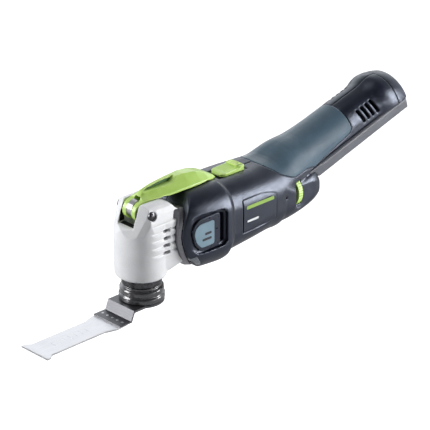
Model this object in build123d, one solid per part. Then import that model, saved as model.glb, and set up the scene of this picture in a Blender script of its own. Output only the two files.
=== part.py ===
from build123d import *
from math import cos, radians, sin
import os

# Cordless oscillating multi tool, millimetres. Origin: on the output spindle axis at the
# accessory seat. +X runs from the spindle to the back of the handle, +Z is up the spindle.

HANDLE_RISE = 16.4          # degrees the handle climbs toward the rear
SEAT_Z = 0.0                # underside of the output hub
HEAD_R = 22.8               # round front of the gear head
HEAD_BOTTOM_Z = 21.5
HEAD_TOP_Z = 89.3
PIN_X = -5.0                # clamp lever pivot
PIN_Z = 81.0
PIN_R = 3.0
SLOT_HALF = 9.3             # half width of the lever slot in the head
LOBE_R = 8.6
FLANGE_X = 60.0             # centre of the round gearbox joint, seen from the side
FLANGE_Z = 56.0
FLANGE_R = 42.2
RING_R = 39.0
MOTOR_Z = 47.0
STATOR_R = 25.0
SHAFT_R = 4.0
THROW = 0.5                 # eccentric throw
SPINDLE_R = 7.0
ROD_R = 2.6
JAW_REACH = 11.3            # jaw hook, measured from the spindle axis
BARREL_END_X = 74.0
BLADE_TIP_X = -117.8
BLADE_W = 32.0
DIAL_X = 158.5
DIAL_Y = -16.0
DIAL_Z = 53.0
DIAL_R = 14.0
SLED_N0 = 2.9               # handle frame: underside and top of the battery sled
SLED_N1 = 13.3
SLED_HALF = 23.0
CAP_T0 = 303.0
CAP_T1 = 315.0
GRIP_END_T = 247.0
GRIP_SKIN = 2.0
FIT = 0.05                  # radial running clearance

H = Vector(cos(radians(HANDLE_RISE)), 0, sin(radians(HANDLE_RISE)))
N = Vector(-sin(radians(HANDLE_RISE)), 0, cos(radians(HANDLE_RISE)))


def handle_plane(t):
    return Plane(origin=H * t, x_dir=(0, 1, 0), z_dir=H)


def upright_plane(x):
    return Plane(origin=(x, 0, 0), x_dir=(0, 1, 0), z_dir=(1, 0, 0))


def section(plane, w, z0, z1, rt, rb):
    """Closed outline of half width w from z0 to z1, top corners rt, bottom corners rb."""
    k = 0.70710678
    a, b = w - rb, w - rt
    edges = [
        Line((-a, z0), (a, z0)),
        ThreePointArc((a, z0), (a + rb * k, z0 + rb * (1 - k)), (w, z0 + rb)),
        Line((w, z0 + rb), (w, z1 - rt)),
        ThreePointArc((w, z1 - rt), (b + rt * k, z1 - rt * (1 - k)), (b, z1)),
        Line((b, z1), (-b, z1)),
        ThreePointArc((-b, z1), (-b - rt * k, z1 - rt * (1 - k)), (-w, z1 - rt)),
        Line((-w, z1 - rt), (-w, z0 + rb)),
        ThreePointArc((-w, z0 + rb), (-a - rb * k, z0 + rb * (1 - k)), (-a, z0)),
    ]
    return plane * make_face(Wire(edges))


def box(x0, x1, y0, y1, z0, z1):
    return Pos((x0 + x1) / 2, (y0 + y1) / 2, (z0 + z1) / 2) * Box(x1 - x0, y1 - y0, z1 - z0)


def handle_box(t0, t1, y0, y1, n0, n1):
    plane = handle_plane(t0)
    face = plane * (Pos((y0 + y1) / 2, (n0 + n1) / 2) * Rectangle(y1 - y0, n1 - n0))
    return extrude(face, amount=t1 - t0, dir=H)


def prism(plane, points, depth):
    """Polygon in the plane's own coordinates, extruded along its normal."""
    ends = points[1:] + points[:1]
    turn = sum(a[0] * b[1] - b[0] * a[1] for a, b in zip(points, ends))
    if turn < 0:
        points = points[::-1]
    return extrude(plane * make_face(Polyline(*points, close=True)), amount=depth)


def side_prism(points, y0, y1):
    """Polygon given as (x, z), from y0 to y1."""
    return prism(Plane(origin=(0, y1, 0), x_dir=(1, 0, 0), z_dir=(0, -1, 0)), points, y1 - y0)


def top_prism(points, z0, z1):
    """Polygon given as (x, y), from z0 to z1."""
    return prism(Plane(origin=(0, 0, z0), x_dir=(1, 0, 0), z_dir=(0, 0, 1)), points, z1 - z0)


def rounded(points, r):
    """Polygon with each corner eased over a length r, or two fifths of the shorter side."""
    out = []
    count = len(points)
    for i, p in enumerate(points):
        p = Vector(*p)
        a = Vector(*points[i - 1]) - p
        b = Vector(*points[(i + 1) % count]) - p
        cut = min(r, 0.4 * a.length, 0.4 * b.length)
        start, end = p + a.normalized() * cut, p + b.normalized() * cut
        for j in range(4):
            u = j / 3
            q = start * (1 - u) ** 2 + p * (2 * u * (1 - u)) + end * u**2
            out.append((q.X, q.Y))
    return out


def tube_z(r, z0, z1, x=0.0, y=0.0):
    return Pos(x, y, (z0 + z1) / 2) * Cylinder(r, z1 - z0)


def tube_x(r, x0, x1, z=MOTOR_Z, y=0.0):
    return Pos((x0 + x1) / 2, y, z) * Rot(0, 90, 0) * Cylinder(r, x1 - x0)


def tube_y(r, y0, y1, x, z):
    return Pos(x, (y0 + y1) / 2, z) * Rot(90, 0, 0) * Cylinder(r, y1 - y0)


def mirrored(shape):
    return mirror(shape, about=Plane.XZ)


def flange_disc(r):
    return tube_y(r, -60, 60, FLANGE_X, FLANGE_Z)


# ---------------------------------------------------------------- outer forms

def barrel_form(inset=0.0):
    rows = [
        (12, 21.0, 32, 79, 18, 18), (17, 25.5, 27.8, 83, 19, 19), (24, 29.8, 23.4, 86, 20, 20),
        (34, 33.0, 19.8, 87.6, 21, 21), (48, 34.8, 17.9, 88.2, 22, 22), (62, 35.3, 17.2, 88.2, 22, 22),
        (BARREL_END_X - 3, 35.0, 17.8, 88, 22, 22),
    ]
    faces = [
        section(upright_plane(x), w - inset, z0 + inset, z1 - inset, rt - inset, rb - inset)
        for x, w, z0, z1, rt, rb in rows
    ]
    return loft(faces)


def front_cut(shape, r):
    keep = flange_disc(r) + box(FLANGE_X, 400, -60, 60, -60, 250)
    return shape & keep


def spine_row(x, z, tilt, w, half, rt, rb):
    """One cross section of the body, centred on (x, z) and leaning back by tilt degrees."""
    return [x, z, tilt, w, half, rt, rb]


def body_spine():
    rows = [
        spine_row(x, (z0 + z1) / 2, 0, w, (z1 - z0) / 2, rt, rb) for x, w, z0, z1, rt, rb in [
            (BARREL_END_X + 2, 32.7, 20.6, 84.8, 22, 22), (90, 32.6, 21.8, 84.4, 22, 22),
            (106, 32.4, 23.2, 84, 22, 22), (124, 31.4, 25, 83.8, 23, 21), (142, 29.6, 26.8, 85.2, 24.5, 19)]]
    for t, w, n0, n1, rt, rb in [
            (180, 24.4, 3, 43.6, 23, 12), (196, 21.8, 3, 41, 21, 8), (214, 20.6, 3, 39.6, 20, 7),
            (240, 20.3, 3, 39, 19.8, 7), (262, 20.3, 3, 38.9, 19.8, 7), (276, 20.4, 3, 38.6, 19.9, 7),
            (283, 21.2, 3, 39.0, 20.6, 7), (289, 23.4, 3, 40.2, 22.6, 7), (295, 24.8, 3, 40.4, 24.0, 7),
            (CAP_T0, 25.0, 3, 38.6, 24.2, 7)]:
        p = H * t + N * ((n0 + n1) / 2)
        rows.append(spine_row(p.X, p.Z, HANDLE_RISE, w, (n1 - n0) / 2, rt, rb))
    return rows


def body_sections(inset=0.0, first=0, steps=4):
    """Cross sections eased between the spine rows with a cubic through four neighbours."""
    rows = body_spine()[first:]
    last = len(rows) - 1
    out = []
    for i in range(last):
        a, b, c, d = rows[max(i - 1, 0)], rows[i], rows[i + 1], rows[min(i + 2, last)]
        for j in range(steps):
            u = j / steps
            row = []
            for q in range(7):
                rise = (c[q] - a[q]) / max(c[0] - a[0], 1) * (c[0] - b[0])
                fall = (d[q] - b[q]) / max(d[0] - b[0], 1) * (c[0] - b[0])
                row.append((2 * u**3 - 3 * u**2 + 1) * b[q] + (u**3 - 2 * u**2 + u) * rise
                           + (3 * u**2 - 2 * u**3) * c[q] + (u**3 - u**2) * fall)
            out.append(row)
    out.append(rows[-1])
    faces = []
    for x, z, tilt, w, half, rt, rb in out:
        lean = radians(tilt)
        plane = Plane(origin=(x, 0, z), x_dir=(0, 1, 0), z_dir=(cos(lean), 0, sin(lean)))
        k = half - inset
        faces.append(section(plane, w - inset, -k, k, rt - inset, rb - inset))
    return faces


def step_form():
    return loft([
        section(upright_plane(BARREL_END_X - 3), 35.0, 17.8, 88, 22, 22),
        section(upright_plane(BARREL_END_X + 2), 32.7, 20.6, 84.8, 22, 22),
    ])


def handle_form():
    whole = loft(body_sections(), ruled=True)
    below = handle_box(150, 340, -60, 60, -60, SLED_N1)
    return whole - below


def pod_form():
    return loft([
        section(upright_plane(142), 29.6, 26.6, 72, 10, 19),
        section(upright_plane(156), 29.2, 28.6, 65.5, 11, 17),
        section(upright_plane(170), 28.0, 32, 66, 11, 14),
        section(upright_plane(181), 26.6, 36.4, 66.5, 10, 11),
        section(upright_plane(187), 25.0, 40.5, 60.5, 8, 9),
    ])


def handle_core(inset):
    return loft(body_sections(inset), ruled=True)


def grip_region():
    top = H * GRIP_END_T + N * 60
    low = H * GRIP_END_T + N * 21.0
    low2 = H * (GRIP_END_T - 4.0) + N * 17.8
    front = H * 196 + N * (SLED_N1 + 0.6)
    points = [
        (109, 98.5), (118.5, 90.8), (127.5, 84.0), (140, 75.4), (148, 71.4), (155, 69.2),
        (163, 69.4), (172, 70.6), (front.X, front.Z), (low2.X, low2.Z), (low.X, low.Z), (top.X, top.Z),
    ]
    return side_prism(points, -60, 60)


# ---------------------------------------------------------------- gear head

def head_profile():
    return [
        (-24, HEAD_BOTTOM_Z), (5, HEAD_BOTTOM_Z), (14, 27.0), (31, 35.5), (40, 60), (24.5, 79.0),
        (20.5, 81.0), (18.0, 84.4), (14.5, 87.4), (9.5, HEAD_TOP_Z), (-8, HEAD_TOP_Z), (-11.5, 88.4),
        (-14.6, 86.4), (-17.6, 83.4), (-20.2, 79.8), (-21.8, 76.5), (-24, 72),
    ]


def head_shoulders():
    """Outer faces of the two lever cheeks: they lean in and round over at the top."""
    side = [
        (-30, HEAD_BOTTOM_Z - 5), (-30, 60), (-22.7, 62), (-21.4, 74), (-20.4, 80), (-18.8, 84.4),
        (-16.4, 87.4), (-13.6, 88.9), (-11.5, HEAD_TOP_Z), (0, HEAD_TOP_Z + 0.01),
    ]
    points = side + [(-y, z) for y, z in reversed(side[:-1])]
    return prism(upright_plane(-60), points, 120)


def trimmed(body, slope, reach):
    """Planar facets on both front corners: everything beyond reach along the slope goes."""
    for side in (-1, 1):
        away = Vector(-slope[0], side * slope[1], slope[2])
        plane = Plane(origin=away * (reach / away.length**2), z_dir=away)
        body = body - plane * Pos(0, 0, 30) * Box(200, 200, 60)
    return body


def louvre_cuts():
    cuts = None
    for i in range(5):
        z = 72.25 - 6.55 * i
        small = upright_plane(-10) * make_face(
            Polyline((-25.0, z + 0.3), (-20.9, z), (-22.2, z - 1.6), (-25.0, z - 2.2), close=True))
        big = upright_plane(19) * make_face(
            Polyline((-27.5, z + 0.4), (-20.6, z), (-24.6, z - 5.0), (-27.5, z - 5.8), close=True))
        wedge = loft([small, big])
        cuts = wedge if cuts is None else cuts + wedge
        if i > 0:
            cuts = cuts + box(5.4, 12.4, -27, -17.6, z - 2.8, z)
    return cuts


def gear_housing():
    front = tube_z(HEAD_R, HEAD_BOTTOM_Z, HEAD_TOP_Z)
    front = fillet(front.edges().sort_by(Axis.Z)[0], 4.0)
    low = loft([
        section(upright_plane(-2), 21.6, HEAD_BOTTOM_Z + 1.5, HEAD_TOP_Z, 1.2, 9),
        section(upright_plane(10), 21.8, HEAD_BOTTOM_Z + 1.5, HEAD_TOP_Z, 1.2, 10),
        section(upright_plane(30), 25.6, HEAD_BOTTOM_Z + 1.5, HEAD_TOP_Z, 1.2, 12),
    ])
    body = (front + low) & side_prism(head_profile(), -60, 60)
    body = body & head_shoulders()
    body = trimmed(body, (0.719, 0.695, 0.20), 35.5)
    body = trimmed(body, (0.906, 0.423, 0.36), 45.3)
    notch = side_prism([(16.2, 72.6), (25, 70), (25, 79.4), (18.4, 79.8)], -30, -15)
    body = body - notch - mirrored(notch)
    body = body - flange_disc(FLANGE_R + 0.1)
    body = body - box(-13.5, 40, -SLOT_HALF, SLOT_HALF, 66, 100)
    body = body - box(-40, 0, -SLOT_HALF, SLOT_HALF, 69.6, 100)
    lip = side_prism([(-30, 68.0), (-30, 100), (-16, 100), (-16, 70.4), (-22.8, 68.0)], -30, 30)
    mouth = top_prism([(-30, -17), (-16.6, -SLOT_HALF), (-16.6, SLOT_HALF), (-30, 17)], 0, 120)
    body = body - (lip & mouth)
    body = body - tube_z(13.0, 10, 31.6) - tube_z(16.0, 31.4, 54) - tube_z(11.0, 53, 60)
    body = body - tube_z(3.4, 58, 70) - tube_x(13.2, 8, 60)
    body = body - tube_y(PIN_R, -40, 40, PIN_X, PIN_Z)
    body = body - tube_y(4.2, -40, -18.2, PIN_X, PIN_Z) - tube_y(4.2, 18.2, 40, PIN_X, PIN_Z)
    cuts = louvre_cuts()
    body = body - cuts - mirrored(cuts)
    return body


def gearbox_ring():
    form = loft([
        section(upright_plane(12), 21.5, 31, 78, 18, 18),
        section(upright_plane(20), 26.4, 27.4, 81, 19, 19),
        section(upright_plane(34), 30.6, 22.4, 84, 20, 20),
        section(upright_plane(46), 31.6, 20, 84.5, 20, 20),
    ])
    form = (form & flange_disc(FLANGE_R)) - flange_disc(RING_R + 0.05)
    form = form & box(0, 46, -60, 60, 0, 79.4)
    return form - tube_x(9.6, 0, 60) - tube_x(STATOR_R + 0.2, 22.6, 60)


def lever_pin():
    shaft = tube_y(PIN_R, -18.2, 18.2, PIN_X, PIN_Z)
    dome = (Pos(PIN_X, -14.6, PIN_Z) * Sphere(6.2)) & tube_y(3.8, -30, -18.2, PIN_X, PIN_Z)
    return shaft + dome + mirrored(dome)


def neck_collar():
    ring = tube_z(17.0, 14.4, HEAD_BOTTOM_Z)
    ring = chamfer(ring.edges().sort_by(Axis.Z)[0], 0.8)
    return ring - tube_z(SPINDLE_R + 0.6, 10, 30)


def bearing_z(r, z0, z1):
    return tube_z(r, z0, z1) - tube_z(SPINDLE_R + FIT, z0 - 1, z1 + 1)


# ---------------------------------------------------------------- output spindle

def ring_profile(points):
    return revolve(Plane.XZ * make_face(Polyline(*points, close=True)), axis=Axis.Z)


def output_hub():
    hub = ring_profile([
        (9.6, 0), (18.4, 0), (19.4, 1.0), (19.4, 4.6), (18.2, 6.0), (18.2, 6.6), (18.7, 7.0),
        (18.7, 10.6), (17.6, 11.8), (16.4, 12.0), (16.4, 14.0), (SPINDLE_R, 14.0), (SPINDLE_R, 10), (9.6, 10),
    ])
    return hub - Pos(0, 0, 8.8) * Rot(0, 0, -45) * Rot(0, 90, 0) * Cylinder(1.1, 60)


def hub_pin():
    return Pos(0, 0, 8.8) * Rot(0, 0, -45) * (tube_x(1.1, 12, 18.2, z=0) + tube_x(1.1, -18.2, -12, z=0))


def output_spindle():
    return tube_z(SPINDLE_R, 10, 60) - tube_z(4.2, 0, 70)


def swing_fork():
    ring = tube_z(10.4, 40, 53) - tube_z(SPINDLE_R, 30, 60)
    arms = box(3, 15.2, 7.2, 10.0, 41, 53) + box(3, 15.2, -10.0, -7.2, 41, 53)
    return ring + (arms - tube_z(8.5, 30, 60))


def tool_bracket():
    profile = [
        (21, 0), (-23.4, 0), (-26.9, -8.4), (-39.4, -8.4), (-39.4, -9.8), (-25.9, -9.8),
        (-22.6, -2.0), (21, -2.0),
    ]
    outline = box(-60, -6, -16, 16, -20, 20) + tube_z(19.0, -20, 20)
    plate = side_prism(profile, -30, 30) & outline
    plate = plate - tube_z(9.6, -5, 5)
    for i in range(12):
        slot = Rot(0, 0, 30 * i + 15) * Pos(14.4, 0, -1) * Box(3.6, 2.6, 6)
        plate = plate - slot
    return plate


def saw_blade():
    blade = top_prism([
        (-30.2, -14.6), (-39.4, -15.6), (-42.5, -15.6), (-53, -12.4), (-109.6, -12.4), (-114, -BLADE_W / 2),
        (BLADE_TIP_X, -BLADE_W / 2), (BLADE_TIP_X, BLADE_W / 2), (-114, BLADE_W / 2), (-109.6, 12.4),
        (-53, 12.4), (-42.5, 15.6), (-39.4, 15.6), (-30.2, 14.6)], -11.2, -9.8)
    for i in range(22):
        y = -BLADE_W / 2 + (i + 0.5) * BLADE_W / 22
        blade = blade - top_prism(
            [(BLADE_TIP_X - 0.1, y - 0.55), (BLADE_TIP_X + 1.3, y), (BLADE_TIP_X - 0.1, y + 0.55)], -12, -8)
    return blade


def clamp_rod():
    stem = tube_z(ROD_R, 1.2, 71.4)
    pins = tube_y(0.6, -3.0, 3.0, 1.6, 4.2) + tube_y(0.6, -3.0, 3.0, -1.6, 4.2)
    head = tube_z(2.75, 71.4, 74.7)
    foot = tube_z(3.6, 1.2, 6.2)
    slot = box(-5, 5, -1.6, 1.6, 0, 5.6)
    return (stem + head + foot - slot) + pins


def clamp_spring():
    coil = Helix(pitch=4.2, height=33.6, radius=3.45)
    wire = Plane(origin=coil @ 0, z_dir=coil % 0) * Circle(0.45)
    return Pos(0, 0, 16) * sweep(wire, path=coil)


def clamp_jaw(side):
    """The two jaws lie side by side in Y so that they can swing past each other."""
    y0, y1 = (0.05, 1.5) if side > 0 else (-1.5, -0.05)
    outline = [
        (0.2, 5.0), (3.0, 5.0), (3.0, -1.2), (4.2, -2.05), (JAW_REACH, -2.05), (JAW_REACH - 1.2, -4.6), (0.2, -4.6),
    ]
    jaw = side_prism([(side * x, z) for x, z in outline], y0, y1)
    return jaw - tube_y(0.6 + FIT, -3, 3, side * 1.6, 4.2)


# ---------------------------------------------------------------- clamp lever

def lever_ridge():
    """Cross sections: half width at the lip, lip height, shoulder, crown."""
    rows = [
        (-3.5, 89.7, 8.2, 90.0, 4.0, 91.6, 1.6, 92.2), (1, 89.7, 9.6, 90.3, 4.4, 93.4, 2.0, 96.4),
        (12, 89.7, 11.2, 90.6, 4.6, 95.4, 2.6, 98.4), (19, 89.7, 11.8, 90.7, 5.0, 96.0, 2.9, 99.0),
        (21, 88.9, 12.0, 90.7, 5.1, 96.2, 3.0, 99.1), (28, 88.9, 12.4, 90.8, 5.6, 96.8, 3.2, 99.6),
        (44, 88.9, 13.0, 91.0, 7.4, 97.0, 4.4, 99.8), (56, 88.9, 13.0, 90.8, 8.2, 95.6, 5.0, 98.2),
        (66, 88.9, 11.8, 90.2, 8.0, 93.4, 5.2, 95.0), (74, 86.6, 9.2, 88.2, 6.6, 90.0, 4.4, 90.8),
        (80.5, 84.9, 4.6, 85.6, 3.6, 86.2, 2.6, 86.6),
    ]
    faces = []
    for x, z0, w, z1, ws, zs, wc, zc in rows:
        half = [(w, z0), (w, z1), (ws, zs), (wc, zc)]
        points = half + [(-y, z) for y, z in reversed(half)]
        faces.append(upright_plane(x) * make_face(Polyline(*points, close=True)))
    return loft(faces, ruled=True)


def clamp_lever():
    side = 7.9
    lobes = tube_y(LOBE_R, -side, side, PIN_X, PIN_Z)
    neck = side_prism([(-6.5, 84), (4, 83), (9, 88.9), (12, 91), (-3.4, 90.6), (-8, 88)], -side, side)
    lobes = lobes + neck
    lobes = lobes - box(-30, 4.6, -3.0, 3.0, 60, 89.2) - tube_y(11.6, -3.0, 3.0, PIN_X, PIN_Z)
    ridge = lever_ridge() - tube_y(11.6, -3.0, 3.0, PIN_X, PIN_Z)
    lever = lobes + ridge
    mouth = side_prism([(0.5, 95.4), (17, 95.6), (30, 96.0), (35.5, 99.0), (37, 104), (0.5, 104)], -20, -0.2)
    under = side_prism([(3, 95.4), (17, 95.6), (30, 96.0), (34.5, 98.4), (14, 97.4), (3, 96.0)], -20, 2.4)
    lever = lever - mouth - under
    return lever - tube_y(PIN_R + FIT, -20, 20, PIN_X, PIN_Z)


def lever_cam():
    """Spiral cam: 6 mm below the pin at rest, growing 3 mm over 130 degrees toward the front."""
    points = []
    for i in range(27):
        a = 270 - 5 * i
        r = 6.0 + 3.0 * (5 * i) / 130
        points.append((PIN_X + r * cos(radians(a)), PIN_Z + r * sin(radians(a))))
    for i in range(1, 8):
        a = radians(140 - 8 * i)
        points.append((PIN_X + 9.0 * cos(a), PIN_Z + 9.0 * sin(a)))
    points += [(PIN_X + 7.0, PIN_Z + 7.0), (PIN_X + 6.0, PIN_Z - 1.0), (PIN_X + 3.4, PIN_Z - 4.9)]
    cam = side_prism(points, -2.9, 2.9)
    return cam - tube_y(PIN_R + FIT, -20, 20, PIN_X, PIN_Z)


# ---------------------------------------------------------------- housing shells

def badge_pocket(inset=0.0):
    k = inset
    return [
        (19.5 + k, 58.5), (21.5 + k, 66.5 - k), (27 + k * 0.6, 71 - k), (38, 72.8 - k), (62 - k, 71.6 - k),
        (66 - k, 67.5 - k), (66 - k, 41.5 + k), (62 - k, 38.6 + k), (37 + k * 0.4, 38.2 + k), (33.5 + k * 0.6, 39.0 + k),
        (26 + k, 46 + k * 0.4), (20 + k, 55),
    ]


def badge_panel_outline():
    return rounded([(27.4, 59), (29.5, 65.5), (35.5, 69.4), (58.4, 69.4), (58.4, 39.9), (37, 39.9), (29.4, 49)], 3)


def tile_outline():
    return rounded([(28.8, 58), (30.4, 62.4), (34.4, 65.2), (51.4, 65.0), (51.4, 43.6), (37, 43.6), (31.0, 50)], 2.4)


def badge_panel():
    return side_prism(badge_panel_outline(), -33.4, -30.0)


def badge_tile():
    return side_prism(tile_outline(), -33.9, -33.4)


def lens_prism():
    return side_prism([(25.5, 35.6), (33.0, 36.4), (41.0, 25.4), (36.0, 26.5)], -45, -19)


def label_zone(gap):
    return side_prism([(86.4 + gap, 40 + gap), (127.6 - gap, 40 + gap), (127.6 - gap, 70.4 - gap),
                       (86.4 + gap, 70.4 - gap)], -45, -30.6)


def vent_cuts(top):
    """Slanted slots on the left side, from the height top down."""
    cuts = None
    lean = 4.1 / 13.5
    for i in range(4):
        t = 258.2 + 5.8 * i
        back = t - lean * (top - 31)
        corners = [
            H * back + N * top, H * (back + 2.9) + N * top, H * (t + 7.0) + N * 17.5, H * (t + 4.1) + N * 17.5]
        slot = side_prism([(p.X, p.Z) for p in corners], -30, -9.0)
        cuts = slot if cuts is None else cuts + slot
    return cuts


def inner_space():
    motor = tube_x(STATOR_R, 18, 79)
    space = motor + tube_x(11.0, 78, 86)
    space = space + box(84, 148, -24, 24, 32, 62) + box(84, 140, -16, 16, 60, 79)
    space = space + box(140, 172, -20, 20, 36, 64)
    duct = loft([
        section(upright_plane(136), 22, 44, 78, 12, 6),
        section(handle_plane(180), 19.0, SLED_N1 + 2, 38, 15, 3),
        section(handle_plane(214), 16.8, SLED_N1 + 2, 35.6, 15, 3),
        section(handle_plane(262), 16.6, SLED_N1 + 2, 35.2, 15, 3),
        section(handle_plane(288), 18.2, SLED_N1 + 2, 36.2, 15, 3),
        section(handle_plane(CAP_T0), 19.8, SLED_N1 + 2, 34.4, 14, 3),
    ], ruled=True)
    return space + duct


def screw_spots():
    return [(81.6, 26.0), (66.0, 78.0), (128.0, 29.5)]


def housing_block():
    barrel = front_cut(barrel_form(), RING_R)
    body = barrel + step_form() + handle_form() + pod_form()
    body = body - inner_space()
    lever_bed = side_prism(
        [(-10, 88.7), (66, 88.7), (74, 86.2), (80.6, 84.6), (83, 86.5), (83, 110), (-10, 110)], -16, 16)
    body = body - (lever_bed & box(-10, 83, -14.5, 14.5, 80, 110))
    body = body - box(80.8, 115.2, -9.0, 9.0, 83.0, 95)
    body = body - box(87.4, 108.4, -3.4, 3.4, 70, 90)
    pockets = side_prism(badge_pocket(), -45, -31.4) + side_prism(
        [(58.9, 40.5), (64.5, 42.5), (64.5, 66.5), (58.9, 69)], -45, -26.4)
    body = body - pockets - mirrored(pockets)
    seat = side_prism(badge_panel_outline(), -45, -30.0)
    body = body - seat - mirrored(seat)
    body = body - lens_prism() - mirrored(lens_prism())
    body = body - label_zone(0) - mirrored(label_zone(0))
    body = body - tube_x(DIAL_R + 0.6, 155.2, 161.8, DIAL_Z, DIAL_Y)
    body = body - side_prism([(153.6, 41), (153.6, 63), (190, 61.8), (190, 50), (179, 43), (158, 38.6)], -45, -27.0)
    body = body - box(161.6, 172, -24, -4, 44, 64)
    body = body - vent_cuts(31) - mirrored(vent_cuts(36.6)) - sled_lip()
    body = body - (grip_region() - handle_core(GRIP_SKIN))
    for x, z in screw_spots():
        body = body - tube_y(1.5, -20, 40, x, z) - tube_y(3.4, 23, 60, x, z)
    return body


def soft_grip():
    return (handle_form() & grip_region()) - handle_core(GRIP_SKIN)


def sled():
    body = handle_box(188, CAP_T1 - 0.6, -SLED_HALF, SLED_HALF, SLED_N0, SLED_N1)
    body = chamfer(body.edges().filter_by(lambda e: abs((e.tangent_at(0.5)).dot(H)) > 0.99)
                   .filter_by(lambda e: (e.center().dot(N)) > 10), 1.6)
    body = body - pod_form() + sled_lip()
    body = body - handle_box(180, 197.4, -30, 30, 0, SLED_N0 + 0.7)
    return body - battery_channel()


def sled_lip():
    """Upper rim of the sled that runs on forward over the pod, both sides."""
    lip = handle_box(173, 202, 20.2, SLED_HALF, 10.2, SLED_N1)
    return lip + mirrored(lip)


def battery_channel():
    wide = handle_box(208, 330, -19.2, 19.2, 6.2, 10.4)
    open_ = handle_box(208, 330, -15.6, 15.6, -10, 10.4)
    return wide + open_


def end_cap():
    form = loft([
        section(handle_plane(CAP_T0), 25.0, SLED_N0, 38.2, 24.2, 1.6),
        section(handle_plane(CAP_T0 + 6), 24.5, SLED_N0, 36.2, 24.0, 1.6),
        section(handle_plane(CAP_T1), 23.4, SLED_N0, 33.0, 22.8, 1.6),
    ])
    pocket = loft([
        section(handle_plane(CAP_T0 - 1), 20.0, SLED_N1 + 2, 34.4, 14, 3),
        section(handle_plane(CAP_T1 - 3), 18.0, SLED_N1 + 2, 31.0, 12, 3),
    ])
    form = form - pocket - handle_box(CAP_T0 - 2, CAP_T1 + 2, -40, 40, -10, SLED_N1)
    for y in (-15.0, 15.0):
        form = form - extrude(handle_plane(CAP_T1 - 6) * (Pos(y, 20) * Circle(2.6)), amount=20, dir=H)
    return form


def cap_screws():
    out = []
    for y in (-15.0, 15.0):
        out.append(extrude(handle_plane(CAP_T1 - 3) * (Pos(y, 20) * Circle(2.6)), amount=2, dir=H).solid())
    return Compound(children=out)


def housing_screws():
    out = []
    for x, z in screw_spots():
        head = tube_y(2.9, 23, 25.4, x, z) - tube_y(1.0, 24.4, 30, x, z)
        out.append((head + tube_y(1.45, -12, 23.2, x, z)).solid())
    return Compound(children=out)


# ---------------------------------------------------------------- controls

def slide_switch():
    plate = side_prism([
        (85.6, 83.6), (113.4, 83.6), (114.0, 84.6), (113.6, 87.2), (110.6, 88.4), (106.4, 88.2), (104.6, 87.0),
        (89.6, 86.6), (86.4, 86.2), (85.4, 85.2)], -10, 10)
    plan = extrude(Pos(0, 0, 80) * (Pos(99.7, 0) * RectangleRounded(28.6, 16.6, 5.4)), amount=20)
    plate = plate & plan
    for i in range(6):
        plate = plate - box(91.6 + 2.0 * i, 92.4 + 2.0 * i, -6.4, 6.4, 86.3, 90)
    return plate


def switch_carriage():
    return box(92.4, 104.4, -3.0, 3.0, 76.2, 83.6) + box(90, 107, -7.0, 7.0, 72.6, 76.2)


def switch_module():
    return box(92, 112, -9, 9, 62.4, 72.2)


def speed_dial():
    disc = tube_x(DIAL_R, DIAL_X - 2.5, DIAL_X + 2.5, DIAL_Z, DIAL_Y)
    for i in range(36):
        a = radians(10 * i)
        notch = Pos(0, DIAL_Y + (DIAL_R + 0.25) * cos(a), DIAL_Z + (DIAL_R + 0.25) * sin(a))
        disc = disc - notch * tube_x(0.55, DIAL_X - 4, DIAL_X + 4, 0, 0)
    return disc - tube_x(2.5, 140, 180, DIAL_Z, DIAL_Y)


def dial_shaft():
    return tube_x(2.5, DIAL_X - 2.5, 170.5, DIAL_Z, DIAL_Y)


def dial_sensor():
    can = box(163.6, 171.6, DIAL_Y - 3.8, DIAL_Y + 7, DIAL_Z - 7, DIAL_Z + 7)
    return can - tube_x(2.5 + FIT, 150, 171.0, DIAL_Z, DIAL_Y)


# ---------------------------------------------------------------- motor

def ring_x(r_out, r_in, x0, x1):
    return tube_x(r_out, x0, x1) - tube_x(r_in, x0 - 1, x1 + 1)


def motor_windings():
    return Compound(children=[ring_x(23.6, 15.6, 27.5, 34).solid(), ring_x(23.6, 15.6, 60, 65).solid()])


def rotor_shaft():
    return tube_x(SHAFT_R, 15.6, 78) + tube_x(3.4, 10.9, 15.6, MOTOR_Z + THROW)


def eccentric_bearing():
    return tube_x(6.0, 11, 15, MOTOR_Z + THROW) - tube_x(3.4, 0, 40, MOTOR_Z + THROW)


def cooling_fan():
    fan = ring_x(22.5, SHAFT_R, 70.2, 71.6)
    fan = fan + ring_x(8.0, SHAFT_R, 66.2, 71.6)
    for i in range(9):
        blade = Pos(0, 0, MOTOR_Z) * Rot(40 * i, 0, 0) * box(66.2, 70.6, -0.7, 0.7, 7.6, 22)
        fan = fan + blade
    return fan


def motor_shield():
    return ring_x(STATOR_R, 9.0, 72.6, 78.6)


def control_board():
    board = box(98, 146, -21, 21, 50, 51.6)
    for x, y, w, h in [(106, -8, 8, 6), (120, 8, 10, 8), (134, -6, 6, 5), (134, 9, 5, 4)]:
        board = board + box(x - w / 2, x + w / 2, y - w / 2, y + w / 2, 51.6, 51.6 + h)
    return board


def terminal_block():
    return handle_box(209, 222, -14, 14, 4.4, 10.4)


def terminal_blades():
    out = []
    for y in (-10.0, -5.0, 5.0, 10.0):
        out.append(handle_box(222, 230, y - 0.4, y + 0.4, 5.4, 9.6).solid())
    return Compound(children=out)


def save(name, shape):
    solids = shape.solids()
    print(name, len(solids), round(sum(s.volume for s in solids), 1), shape.is_valid)
    export_step(shape, "parts/" + name + ".step")


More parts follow.
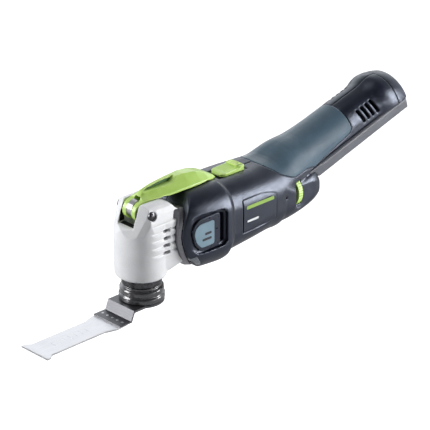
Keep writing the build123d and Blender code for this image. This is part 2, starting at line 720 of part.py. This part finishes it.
def main():
    os.makedirs("parts", exist_ok=True)
    block = housing_block()
    save("housing_left", block & box(-50, 400, -60, 0, -20, 200))
    save("housing_right", block & box(-50, 400, 0, 60, -20, 200))
    handle = handle_form()
    save("soft_grip", soft_grip())
    save("battery_sled", sled())
    save("handle_end_cap", end_cap())
    save("end_cap_screws", cap_screws())
    save("housing_screws", housing_screws())
    save("gear_housing", gear_housing())
    save("gearbox_ring", gearbox_ring())
    save("lever_pin", lever_pin())
    save("neck_collar", neck_collar())
    save("spindle_bearing_lower", bearing_z(13.0, 22.5, 31.0))
    save("spindle_bearing_upper", bearing_z(11.0, 54.0, 60.0))
    save("badge_panel_left", badge_panel())
    save("badge_panel_right", mirrored(badge_panel()))
    save("badge_tile_left", badge_tile())
    save("badge_tile_right", mirrored(badge_tile()))
    lens = (front_cut(barrel_form(), RING_R) & lens_prism()) - tube_x(STATOR_R + 0.3, 0, 60)
    save("led_lens_left", lens)
    save("led_lens_right", mirrored(lens))
    label = (handle & label_zone(0.5)) + (pod_form() & label_zone(0.5))
    save("label_plate_left", label)
    save("label_plate_right", mirrored(label))
    save("output_hub", output_hub())
    save("hub_pin", hub_pin())
    save("output_spindle", output_spindle())
    save("swing_fork", swing_fork())
    save("tool_bracket", tool_bracket())
    save("saw_blade", saw_blade())
    save("clamp_rod", clamp_rod())
    save("clamp_spring", clamp_spring())
    save("clamp_jaw_front", clamp_jaw(-1))
    save("clamp_jaw_rear", clamp_jaw(1))
    save("clamp_lever", clamp_lever())
    save("lever_cam", lever_cam())
    save("slide_switch", slide_switch())
    save("switch_carriage", switch_carriage())
    save("switch_module", switch_module())
    save("speed_dial", speed_dial())
    save("dial_shaft", dial_shaft())
    save("dial_sensor", dial_sensor())
    save("motor_stator", ring_x(STATOR_R, 15.2, 34, 60))
    save("motor_windings", motor_windings())
    save("rotor_core", ring_x(14.6, SHAFT_R, 34, 60))
    save("rotor_shaft", rotor_shaft())
    save("eccentric_bearing", eccentric_bearing())
    save("cooling_fan", cooling_fan())
    save("motor_bearing_front", ring_x(9.6, SHAFT_R + FIT, 17.0, 21.4))
    save("motor_bearing_rear", ring_x(9.0, SHAFT_R + FIT, 72.8, 78))
    save("motor_end_shield", motor_shield())
    save("control_board", control_board())
    save("terminal_block", terminal_block())
    save("terminal_blades", terminal_blades())


main()
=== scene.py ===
import math

import bmesh
import bpy
from mathutils import Matrix, Vector


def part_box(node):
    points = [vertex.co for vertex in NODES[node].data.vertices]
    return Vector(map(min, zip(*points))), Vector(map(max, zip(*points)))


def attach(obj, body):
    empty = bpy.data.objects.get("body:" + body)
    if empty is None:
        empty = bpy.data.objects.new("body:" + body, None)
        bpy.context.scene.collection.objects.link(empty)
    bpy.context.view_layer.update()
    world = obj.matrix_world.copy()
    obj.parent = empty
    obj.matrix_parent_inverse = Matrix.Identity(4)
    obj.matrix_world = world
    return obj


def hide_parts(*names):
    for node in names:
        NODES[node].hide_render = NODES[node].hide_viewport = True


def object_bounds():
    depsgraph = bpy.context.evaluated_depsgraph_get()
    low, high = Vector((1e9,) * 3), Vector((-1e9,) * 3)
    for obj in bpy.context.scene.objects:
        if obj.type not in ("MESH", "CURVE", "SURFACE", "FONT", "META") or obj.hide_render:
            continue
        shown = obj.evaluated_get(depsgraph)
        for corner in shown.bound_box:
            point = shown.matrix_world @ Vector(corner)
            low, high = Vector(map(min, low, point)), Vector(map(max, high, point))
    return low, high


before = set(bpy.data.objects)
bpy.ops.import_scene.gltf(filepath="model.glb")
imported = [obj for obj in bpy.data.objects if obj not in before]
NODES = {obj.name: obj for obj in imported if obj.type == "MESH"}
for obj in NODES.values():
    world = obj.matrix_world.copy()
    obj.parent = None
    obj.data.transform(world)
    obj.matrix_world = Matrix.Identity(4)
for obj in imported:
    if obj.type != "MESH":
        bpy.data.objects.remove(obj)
CAD_BOX = [list(v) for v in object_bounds()]
MM = 0.001
BACKDROP = (0.695, 0.719, 0.0)
FILL_DIM = 0.10
FILL_BRIGHT = 1.7
PRINT_RISE = 0.15
LOUVRE_TOP = 72.25
LOUVRE_STEP = 6.55


# ---------------------------------------------------------------- node materials

class Maker:
    """Short helper for building one node material."""

    def __init__(self, name):
        self.mat = bpy.data.materials.new(name)
        self.mat.use_nodes = True
        self.nt = self.mat.node_tree
        self.nt.nodes.clear()
        self.out = self.add("ShaderNodeOutputMaterial")
        self.bsdf = self.add("ShaderNodeBsdfPrincipled")
        self.link(self.bsdf.outputs[0], self.out.inputs[0])
        self.coord = self.add("ShaderNodeTexCoord").outputs["Object"]

    def add(self, kind, **props):
        node = self.nt.nodes.new(kind)
        for key, value in props.items():
            setattr(node, key, value)
        return node

    def link(self, a, b):
        self.nt.links.new(a, b)

    def set(self, **values):
        for key, value in values.items():
            self.bsdf.inputs[key.replace("_", " ")].default_value = value

    def noise(self, scale, detail=3.0, rough=0.5, stretch=None):
        src = self.coord
        if stretch:
            m = self.add("ShaderNodeMapping")
            m.inputs["Scale"].default_value = stretch
            self.link(src, m.inputs[0])
            src = m.outputs[0]
        n = self.add("ShaderNodeTexNoise")
        n.inputs["Scale"].default_value = scale
        n.inputs["Detail"].default_value = detail
        n.inputs["Roughness"].default_value = rough
        self.link(src, n.inputs["Vector"])
        return n.outputs[0]

    def remap(self, fac, a, b, lo, hi):
        m = self.add("ShaderNodeMapRange")
        for key, value in zip(("From Min", "From Max", "To Min", "To Max"), (a, b, lo, hi)):
            m.inputs[key].default_value = value
        self.link(fac, m.inputs[0])
        return m.outputs[0]

    def mix(self, fac, a, b):
        m = self.add("ShaderNodeMix", data_type="RGBA")
        for sock, value in ((m.inputs[0], fac), (m.inputs[6], a), (m.inputs[7], b)):
            if isinstance(value, (int, float, tuple)):
                opaque = isinstance(value, tuple) and len(value) == 3
                sock.default_value = (*value, 1.0) if opaque else value
            else:
                self.link(value, sock)
        return m.outputs[2]

    def bump(self, height, distance, strength=1.0, previous=None):
        b = self.add("ShaderNodeBump")
        b.inputs["Distance"].default_value = distance
        b.inputs["Strength"].default_value = strength
        self.link(height, b.inputs["Height"])
        if previous is not None:
            self.link(previous, b.inputs["Normal"])
        return b.outputs[0]

    def edges(self, lo=0.51, hi=0.56):
        """0 on faces, 1 on convex edges."""
        g = self.add("ShaderNodeNewGeometry")
        return self.remap(g.outputs["Pointiness"], lo, hi, 0.0, 1.0)

    def colour(self, socket):
        self.link(socket, self.bsdf.inputs["Base Color"])

    def roughness(self, socket):
        self.link(socket, self.bsdf.inputs["Roughness"])

    def normal(self, socket):
        self.link(socket, self.bsdf.inputs["Normal"])


def plastic(name, dark, light, rough, grain=2600.0, depth=0.00004, edge=0.25, coat=0.0, spec=0.5,
            sheen=0.0,
            tint=(1, 1, 1, 1)):
    m = Maker(name)
    cloud = m.noise(55.0, 3.0)
    fine = m.noise(grain, 2.0, 0.6)
    base = m.mix(m.remap(cloud, 0.35, 0.65, 0.0, 1.0), dark, light)
    paler = tuple(min(1.0, c * 1.5 + 0.004) for c in light)
    # Convex edges are lightened towards a much paler colour: a painted highlight along the edges.
    edge_highlight_colour = tuple(min(1.0, c * 2.2 + 0.01) for c in light)
    speck = m.mix(m.remap(fine, 0.3, 0.7, 0.0, 0.22), base, paler)
    edge_highlighted = m.mix(m.remap(m.edges(), 0.0, 1.0, 0.0, edge), speck, edge_highlight_colour)
    m.colour(edge_highlighted)
    m.roughness(m.remap(m.noise(240.0, 3.0), 0.3, 0.7, rough - 0.05, rough + 0.06))
    m.normal(m.bump(fine, depth))
    m.set(Specular_IOR_Level=spec, Specular_Tint=tint, Coat_Weight=coat)
    m.set(Sheen_Weight=sheen, Sheen_Roughness=0.35)
    return m.mat


def metal(name, dark, light, rough, stretch, grain=60.0, depth=0.00002, metallic=1.0, coat=0.0):
    """Drawn or ground metal: noise pulled out along one axis."""
    m = Maker(name)
    lines = m.noise(grain, 4.0, 0.6, stretch)
    cloud = m.noise(60.0, 2.0)
    base = m.mix(m.remap(lines, 0.3, 0.7, 0.0, 1.0), dark, light)
    tone = m.mix(m.remap(cloud, 0.3, 0.7, 0.0, 0.25), base, tuple(c * 0.8 for c in dark))
    m.colour(tone)
    m.roughness(m.remap(lines, 0.3, 0.7, rough - 0.06, rough + 0.1))
    m.normal(m.bump(lines, depth, 0.6))
    m.set(Metallic=metallic, Coat_Weight=coat)
    return m.mat


MATS = {
    "housing": plastic("housing_mat", (0.004, 0.005, 0.011), (0.008, 0.010, 0.020), 0.33, edge=0.15, spec=0.8,
                       tint=(0.74, 0.82, 1.0, 1)),
    # Near-black material for sheets placed where there is only shade: painted shade.
    "painted_shade": plastic("painted_shade_mat", (0.006, 0.006, 0.008), (0.010, 0.010, 0.013), 0.6, edge=0.0, spec=0.2),
    "grip": plastic("grip_mat", (0.048, 0.088, 0.125), (0.066, 0.115, 0.158), 0.48, grain=1500.0,
                    depth=0.00006, edge=0.12, spec=0.32, sheen=0.7),
    "sled": plastic("sled_mat", (0.070, 0.075, 0.092), (0.095, 0.101, 0.122), 0.44, edge=0.5),
    "panel": plastic("panel_mat", (0.012, 0.014, 0.022), (0.020, 0.023, 0.035), 0.30, edge=0.6,
                     tint=(0.74, 0.82, 1.0, 1)),
    "tile": plastic("tile_mat", (0.16, 0.25, 0.32), (0.19, 0.29, 0.36), 0.36, edge=0.2),
    "green": plastic("green_mat", (0.42, 0.66, 0.120), (0.50, 0.73, 0.180), 0.33, grain=1800.0, depth=0.00002,
                     edge=0.3, coat=0.25),
    # Dark saturated green for the sheet in the lever's opening: painted shade.
    "green_painted_shade": plastic("green_painted_shade_mat", (0.020, 0.085, 0.012), (0.035, 0.120, 0.020), 0.5, edge=0.1),
    "green_bar": plastic("green_bar_mat", (0.24, 0.40, 0.06), (0.29, 0.46, 0.08), 0.5, edge=0.0),
    "white_bar": plastic("white_bar_mat", (0.72, 0.74, 0.76), (0.80, 0.82, 0.84), 0.5, edge=0.0),
    "dark_bar": plastic("dark_bar_mat", (0.010, 0.012, 0.018), (0.018, 0.021, 0.030), 0.45, edge=0.0),
    "head": plastic("head_mat", (0.74, 0.75, 0.77), (0.82, 0.83, 0.85), 0.34, grain=900.0, depth=0.00003,
                    edge=0.0, coat=0.2),
    "inner": plastic("inner_mat", (0.03, 0.03, 0.034), (0.045, 0.045, 0.05), 0.6),
    "board": plastic("board_mat", (0.01, 0.08, 0.04), (0.02, 0.12, 0.06), 0.45),
    "ring": metal("ring_mat", (0.26, 0.26, 0.28), (0.38, 0.38, 0.41), 0.38, (1, 8, 8), 120.0, metallic=0.7),
    "hub": metal("hub_mat", (0.080, 0.080, 0.084), (0.130, 0.130, 0.138), 0.20, (1, 1, 30), 60.0,
                 metallic=0.6, coat=0.9),
    "bracket": metal("bracket_mat", (0.09, 0.09, 0.098), (0.16, 0.16, 0.172), 0.34, (30, 1, 1), 60.0,
                     metallic=0.85),
    "blade": metal("blade_mat", (0.62, 0.62, 0.64), (0.80, 0.80, 0.82), 0.33, (2, 60, 2), 40.0),
    "steel": metal("steel_mat", (0.45, 0.45, 0.47), (0.62, 0.62, 0.64), 0.30, (1, 20, 1), 80.0),
    "pin": metal("pin_mat", (0.07, 0.07, 0.075), (0.14, 0.14, 0.15), 0.25, (1, 1, 1), 400.0),
    "chrome": metal("chrome_mat", (0.6, 0.6, 0.62), (0.75, 0.75, 0.77), 0.15, (1, 1, 1), 300.0),
    "copper": metal("copper_mat", (0.50, 0.22, 0.10), (0.72, 0.36, 0.18), 0.35, (60, 1, 1), 60.0),
    "contact": metal("contact_mat", (0.62, 0.46, 0.16), (0.8, 0.62, 0.26), 0.25, (20, 1, 1), 60.0),
}


def lens_material():
    m = Maker("lens_mat")
    m.colour(m.mix(m.remap(m.noise(300.0), 0.3, 0.7, 0.0, 1.0), (0.10, 0.115, 0.14), (0.17, 0.19, 0.22)))
    m.set(Roughness=0.06, Coat_Weight=1.0, Coat_Roughness=0.03)
    m.normal(m.bump(m.noise(500.0), 0.00002))
    return m.mat


MATS["lens"] = lens_material()


# ---------------------------------------------------------------- meshes

def link(obj):
    bpy.context.scene.collection.objects.link(obj)
    return obj


def baked(obj, name):
    """The object with its modifiers applied, as a new smooth-shaded object."""
    dg = bpy.context.evaluated_depsgraph_get()
    mesh = bpy.data.meshes.new_from_object(obj.evaluated_get(dg))
    mesh.name = name
    new = link(bpy.data.objects.new(name, mesh))
    for p in mesh.polygons:
        p.use_smooth = True
    bpy.data.objects.remove(obj)
    return new


def node_copy(node):
    src = NODES[node]
    obj = link(bpy.data.objects.new("tmp_" + node, src.data.copy()))
    bm = bmesh.new()
    bm.from_mesh(obj.data)
    bmesh.ops.remove_doubles(bm, verts=bm.verts, dist=1e-6)
    bm.to_mesh(obj.data)
    bm.free()
    obj.data.materials.clear()
    return obj


def moulded(node, name, voxel, rounds, mat, slot_name, body, replaced=None):
    """A CAD node with its edges rounded as in a mould: fine remesh, then relaxed."""
    obj = node_copy(node)
    r = obj.modifiers.new("remesh", "REMESH")
    r.mode = "VOXEL"
    r.voxel_size = voxel * MM
    s = obj.modifiers.new("relax", "SMOOTH")
    s.factor = 0.5
    s.iterations = rounds
    obj = baked(obj, name)
    obj.data.materials.append(MATS[mat])
    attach(obj, body)
    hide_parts(*(replaced or [node]))
    return obj


def paint(node, mat):
    obj = NODES[node]
    obj.data.materials.clear()
    obj.data.materials.append(MATS[mat])


def moulded_pieces():
    """node, name, voxel in mm, rounds of relaxing, material, slot, body."""
    rows = [
        ("housing_left", "housing_left_shell", 0.65, 6, "housing", "housing_plastic", "tool_body"),
        ("housing_right", "housing_right_shell", 0.65, 6, "housing", "housing_plastic", "tool_body"),
        ("soft_grip", "soft_grip_skin", 0.6, 6, "grip", "grip_rubber", "tool_body"),
        ("battery_sled", "battery_rail_frame", 0.6, 4, "sled", "sled_plastic", "tool_body"),
        ("handle_end_cap", "end_cap_shell", 0.5, 5, "housing", "housing_plastic", "tool_body"),
        ("gear_housing", "gear_head_casting", 0.45, 7, "head", "head_paint", "tool_body"),
        ("gearbox_ring", "gearbox_ring_casting", 0.6, 4, "ring", "ring_metal", "tool_body"),
        ("clamp_lever", "clamp_lever_grip", 0.4, 6, "green", "green_plastic", "lever"),
        ("slide_switch", "slide_switch_cap", 0.25, 4, "green", "green_plastic", "switch"),
        ("speed_dial", "speed_dial_wheel", 0.25, 2, "green", "green_plastic", "dial"),
        ("output_hub", "output_hub_turned", 0.3, 3, "hub", "black_metal", "output"),
    ]
    sided = [
        ("badge_panel_", "badge_panel_raised_", 0.3, 4, "panel", "housing_plastic", "tool_body"),
        ("badge_tile_", "badge_tile_face_", 0.15, 2, "tile", "tile_plastic", "tool_body"),
        ("label_plate_", "label_plate_face_", 0.35, 4, "housing", "housing_plastic", "tool_body"),
        ("led_lens_", "led_lens_clear_", 0.3, 3, "lens", "lens", "tool_body"),
    ]
    for node, name, *rest in rows:
        moulded(node, name, *rest)
    for side in ("left", "right"):
        for node, name, *rest in sided:
            moulded(node + side, name + side, *rest)


PAINTED = {
    "pin": ["lever_pin", "neck_collar", "housing_screws"],
    "bracket": ["tool_bracket"],
    "blade": ["saw_blade"],
    "steel": [
        "lever_cam", "clamp_rod", "clamp_spring", "clamp_jaw_front", "clamp_jaw_rear", "hub_pin",
        "output_spindle", "swing_fork", "rotor_shaft", "dial_shaft", "end_cap_screws",
    ],
    "chrome": [
        "spindle_bearing_lower", "spindle_bearing_upper", "eccentric_bearing", "motor_bearing_front",
        "motor_bearing_rear",
    ],
    "ring": ["motor_stator", "rotor_core", "motor_end_shield"],
    "copper": ["motor_windings"],
    "board": ["control_board"],
    "contact": ["terminal_blades"],
    "inner": ["terminal_block", "switch_module", "switch_carriage", "dial_sensor", "cooling_fan"],
}

moulded_pieces()
for mat, nodes in PAINTED.items():
    for node in nodes:
        paint(node, mat)


# ---------------------------------------------------------------- small details

def plates(name, outlines, axis, start, end, mat, body, ease=0.12):
    """Thin eased plates, one per outline, all in one object; axis is the way they stand up."""
    bm = bmesh.new()
    for outline in outlines:
        if axis == "y":
            verts = [bm.verts.new((x * MM, start * MM, z * MM)) for x, z in outline]
        else:
            verts = [bm.verts.new((x * MM, y * MM, start * MM)) for x, y in outline]
        face = bm.faces.new(verts)
        rise = (end - start) * MM
        out = bmesh.ops.extrude_face_region(bm, geom=[face])
        moved = [v for v in out["geom"] if isinstance(v, bmesh.types.BMVert)]
        bmesh.ops.translate(bm, verts=moved, vec=(0, rise, 0) if axis == "y" else (0, 0, rise))
    bmesh.ops.recalc_face_normals(bm, faces=bm.faces)
    width = min(ease, abs(end - start) * 0.4) * MM
    bmesh.ops.bevel(
        bm, geom=list(bm.edges), offset=width, segments=2, profile=0.5, affect="EDGES", clamp_overlap=True)
    mesh = bpy.data.meshes.new(name)
    bm.to_mesh(mesh)
    bm.free()
    mesh.materials.append(MATS[mat])
    obj = link(bpy.data.objects.new(name, mesh))
    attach(obj, body)
    return obj


def block(u0, u1, v0, v1, cut=0.5):
    """Rectangle outline with clipped corners."""
    c = min(cut, (u1 - u0) / 3, (v1 - v0) / 3)
    return [
        (u0 + c, v0), (u1 - c, v0), (u1, v0 + c), (u1, v1 - c),
        (u1 - c, v1), (u0 + c, v1), (u0, v1 - c), (u0, v0 + c),
    ]


def disc(u, v, r, count=20):
    angles = [2 * math.pi * i / count for i in range(count)]
    return [(u + r * math.cos(a), v + r * math.sin(a)) for a in angles]


def millimetres(node):
    lo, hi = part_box(node)
    return lo / MM, hi / MM


def print_marks_and_painted_shade():
    # Printed bars, welds, ticks and ribs, plus dark sheets that paint shade into the slots and the lever
    # opening.
    for side, sign in (("left", -1), ("right", 1)):
        lo, hi = millimetres("badge_tile_" + side)
        face = hi.y if sign > 0 else lo.y
        bars = [
            block(lo.x + 11.5, hi.x - 3.4, lo.z + 10.4, lo.z + 12.6),
            block(lo.x + 8.6, hi.x - 3.4, lo.z + 5.6, lo.z + 7.8),
        ]
        plates("badge_bars_" + side, bars, "y", face, face + sign * PRINT_RISE,
               "dark_bar", "tool_body")
        lo, hi = millimetres("label_plate_" + side)
        face = hi.y if sign > 0 else lo.y
        plates("label_bar_green_" + side, [block(lo.x + 3.4, hi.x - 4.6, hi.z - 9.0, hi.z - 5.8)], "y",
               face, face + sign * PRINT_RISE, "green_bar", "tool_body")
        plates("label_bar_white_" + side, [block(lo.x + 4.0, lo.x + 17.5, lo.z + 8.4, lo.z + 10.4)], "y",
               face, face + sign * PRINT_RISE, "white_bar", "tool_body")
        tops = [LOUVRE_TOP - LOUVRE_STEP * i for i in range(1, 5)]
        slots = [block(5.6, 12.2, top - 2.7, top - 0.1) for top in tops]
        # Dark plates behind the louvre slots: painted shade inside the slots.
        plates("louvre_painted_shade_" + side, slots, "y", sign * 17.55, sign * 18.3,
               "painted_shade", "tool_body")
        # Dark sheets on the inner faces of the head's slot cheeks: painted shade in the slot.
        inner = [(-15.4, 70.9), (-14.4, 79.6), (-10.6, 86.4), (-10.2, 86.4), (-10.2, 70.9)]
        plates("head_slot_liner_" + side, [inner], "y", sign * 9.3, sign * 8.9,
               "painted_shade", "tool_body")
    # Dark green sheet inside the lever's finger opening: painted shade.
    mouth = [(3.0, 95.9), (17, 96.0), (29.5, 96.4), (32.6, 97.6), (27, 98.9), (18, 98.3), (9, 97.0)]
    plates("lever_mouth_painted_shade", [mouth], "y", -0.1, -0.7, "green_painted_shade", "lever")
    # Dark plate on the slot floor: painted shade at the bottom of the slot.
    plates("painted_shade_slot_floor", [block(-15.2, -10.2, -8.7, 8.7)], "z", 69.5, 69.9,
           "painted_shade", "tool_body")
    lo, hi = millimetres("tool_bracket")
    plate = lo.z + 1.4
    welds = [disc(lo.x + 6.2, y, 1.15) for y in (-12, -6, 0, 6, 12)]
    plates("bracket_spot_welds", welds, "z", plate, plate + 0.18, "steel", "output")
    lo, hi = millimetres("saw_blade")
    ticks = [block(-62 - 6.0 * i, -61.4 - 6.0 * i, -3.0 - (i % 2), 3.0 + (i % 2), 0.1) for i in range(7)]
    plates("blade_depth_ticks", ticks, "z", hi.z, hi.z + 0.05, "steel", "output", 0.02)
    lo, hi = millimetres("slide_switch")
    ribs = [block(hi.x - 9.6 + 1.9 * i, hi.x - 8.8 + 1.9 * i, -5.6, 5.6, 0.3) for i in range(4)]
    plates("switch_ribs", ribs, "z", hi.z - 0.6, hi.z + 0.45, "green", "switch")


print_marks_and_painted_shade()


# ---------------------------------------------------------------- studio

def emitter(name, location, target, size, power, colour=(1, 1, 1), size_y=None):
    data = bpy.data.lights.new(name, "AREA")
    data.shape = "RECTANGLE"
    data.size = size
    data.size_y = size_y or size
    data.energy = power
    data.color = colour
    obj = link(bpy.data.objects.new(name, data))
    obj.location = location
    obj.rotation_mode = "QUATERNION"
    obj.rotation_quaternion = (Vector(target) - Vector(location)).to_track_quat("-Z", "Y")
    return obj


def studio():
    lo, hi = (Vector(v) for v in CAD_BOX)
    world = bpy.data.worlds.new("studio_world")
    world.use_nodes = True
    nt = world.node_tree
    nt.nodes.clear()
    out = nt.nodes.new("ShaderNodeOutputWorld")
    seen = nt.nodes.new("ShaderNodeBackground")
    seen.inputs[0].default_value = (1, 1, 1, 1)
    seen.inputs[1].default_value = 1.0
    fill = nt.nodes.new("ShaderNodeBackground")
    coord = nt.nodes.new("ShaderNodeTexCoord")
    dot = nt.nodes.new("ShaderNodeVectorMath")
    dot.operation = "DOT_PRODUCT"
    dot.inputs[1].default_value = BACKDROP
    nt.links.new(coord.outputs["Generated"], dot.inputs[0])
    grade = nt.nodes.new("ShaderNodeMapRange")
    grade.interpolation_type = "SMOOTHSTEP"
    for key, value in zip(("From Min", "From Max", "To Min", "To Max"), (-0.1, 0.85, FILL_DIM, FILL_BRIGHT)):
        grade.inputs[key].default_value = value
    nt.links.new(dot.outputs["Value"], grade.inputs[0])
    split = nt.nodes.new("ShaderNodeSeparateXYZ")
    nt.links.new(coord.outputs["Generated"], split.inputs[0])
    low = nt.nodes.new("ShaderNodeMapRange")
    low.interpolation_type = "SMOOTHSTEP"
    for key, value in zip(("From Min", "From Max", "To Min", "To Max"), (0.44, 0.72, 1.0, 0.22)):
        low.inputs[key].default_value = value
    nt.links.new(split.outputs["Z"], low.inputs[0])
    strength = nt.nodes.new("ShaderNodeMath")
    strength.operation = "MULTIPLY"
    nt.links.new(grade.outputs[0], strength.inputs[0])
    nt.links.new(low.outputs[0], strength.inputs[1])
    nt.links.new(strength.outputs[0], fill.inputs[1])
    fill.inputs[0].default_value = (0.94, 0.97, 1.0, 1)
    path = nt.nodes.new("ShaderNodeLightPath")
    mix = nt.nodes.new("ShaderNodeMixShader")
    nt.links.new(path.outputs["Is Camera Ray"], mix.inputs[0])
    nt.links.new(fill.outputs[0], mix.inputs[1])
    nt.links.new(seen.outputs[0], mix.inputs[2])
    nt.links.new(mix.outputs[0], out.inputs[0])
    bpy.context.scene.world = world

    m = Maker("floor_mat")
    m.colour(m.mix(m.remap(m.noise(8.0), 0.3, 0.7, 0.0, 1.0), (0.50, 0.50, 0.505), (0.53, 0.53, 0.535)))
    m.set(Roughness=0.9, Specular_IOR_Level=0.0)
    lift = m.add("ShaderNodeEmission")
    lift.inputs[1].default_value = 0.86
    add = m.add("ShaderNodeAddShader")
    m.link(m.bsdf.outputs[0], add.inputs[0])
    m.link(lift.outputs[0], add.inputs[1])
    ray = m.add("ShaderNodeLightPath")
    pick = m.add("ShaderNodeMixShader")
    m.link(ray.outputs["Is Camera Ray"], pick.inputs[0])
    m.link(m.bsdf.outputs[0], pick.inputs[1])
    m.link(add.outputs[0], pick.inputs[2])
    m.link(pick.outputs[0], m.out.inputs[0])
    mesh = bpy.data.meshes.new("floor")
    size = 40.0
    z = lo.z - 0.12
    corners = [(-size, -size, z), (size, -size, z), (size, size, z), (-size, size, z)]
    mesh.from_pydata(corners, [], [(0, 1, 2, 3)])
    floor = link(bpy.data.objects.new("floor", mesh))
    mesh.materials.append(m.mat)

    mid = (lo + hi) / 2
    emitter("softbox_right", mid + 1.2 * Vector((0.72, -0.69, 0.10)), mid, 0.42, 17, size_y=0.9)
    emitter("softbox_left", mid + 1.2 * Vector((-0.74, 0.52, 0.32)), mid, 0.5, 11.5, size_y=0.8)
    emitter("softbox_top", mid + Vector((-0.1, 0.1, 1.3)), mid, 0.8, 2.2, size_y=0.8)
    emitter("softbox_low", mid + 1.2 * Vector((0.30, -0.95, -0.08)), mid, 0.5, 2.0, size_y=0.16)
    view = bpy.context.scene.view_settings
    view.view_transform = "Standard"
    view.look = "None"


def camera():
    az, el, dist = math.radians(-44.02), math.radians(24.81), 2.1169
    back = Vector((math.sin(az) * math.cos(el), -math.cos(az) * math.cos(el), math.sin(el)))
    right = Vector((math.cos(az), math.sin(az), 0))
    up = back.cross(right)
    data = bpy.data.cameras.new("photo_camera")
    data.lens = 209.3
    data.sensor_width = 36.0
    data.clip_start, data.clip_end = 0.1, 100.0
    cam = link(bpy.data.objects.new("photo_camera", data))
    rot = Matrix((right, up, back)).transposed().to_4x4()
    cam.matrix_world = Matrix.Translation(Vector((0.0847, 0, 0.0472)) + back * dist) @ rot
    bpy.context.scene.camera = cam


studio()
camera()
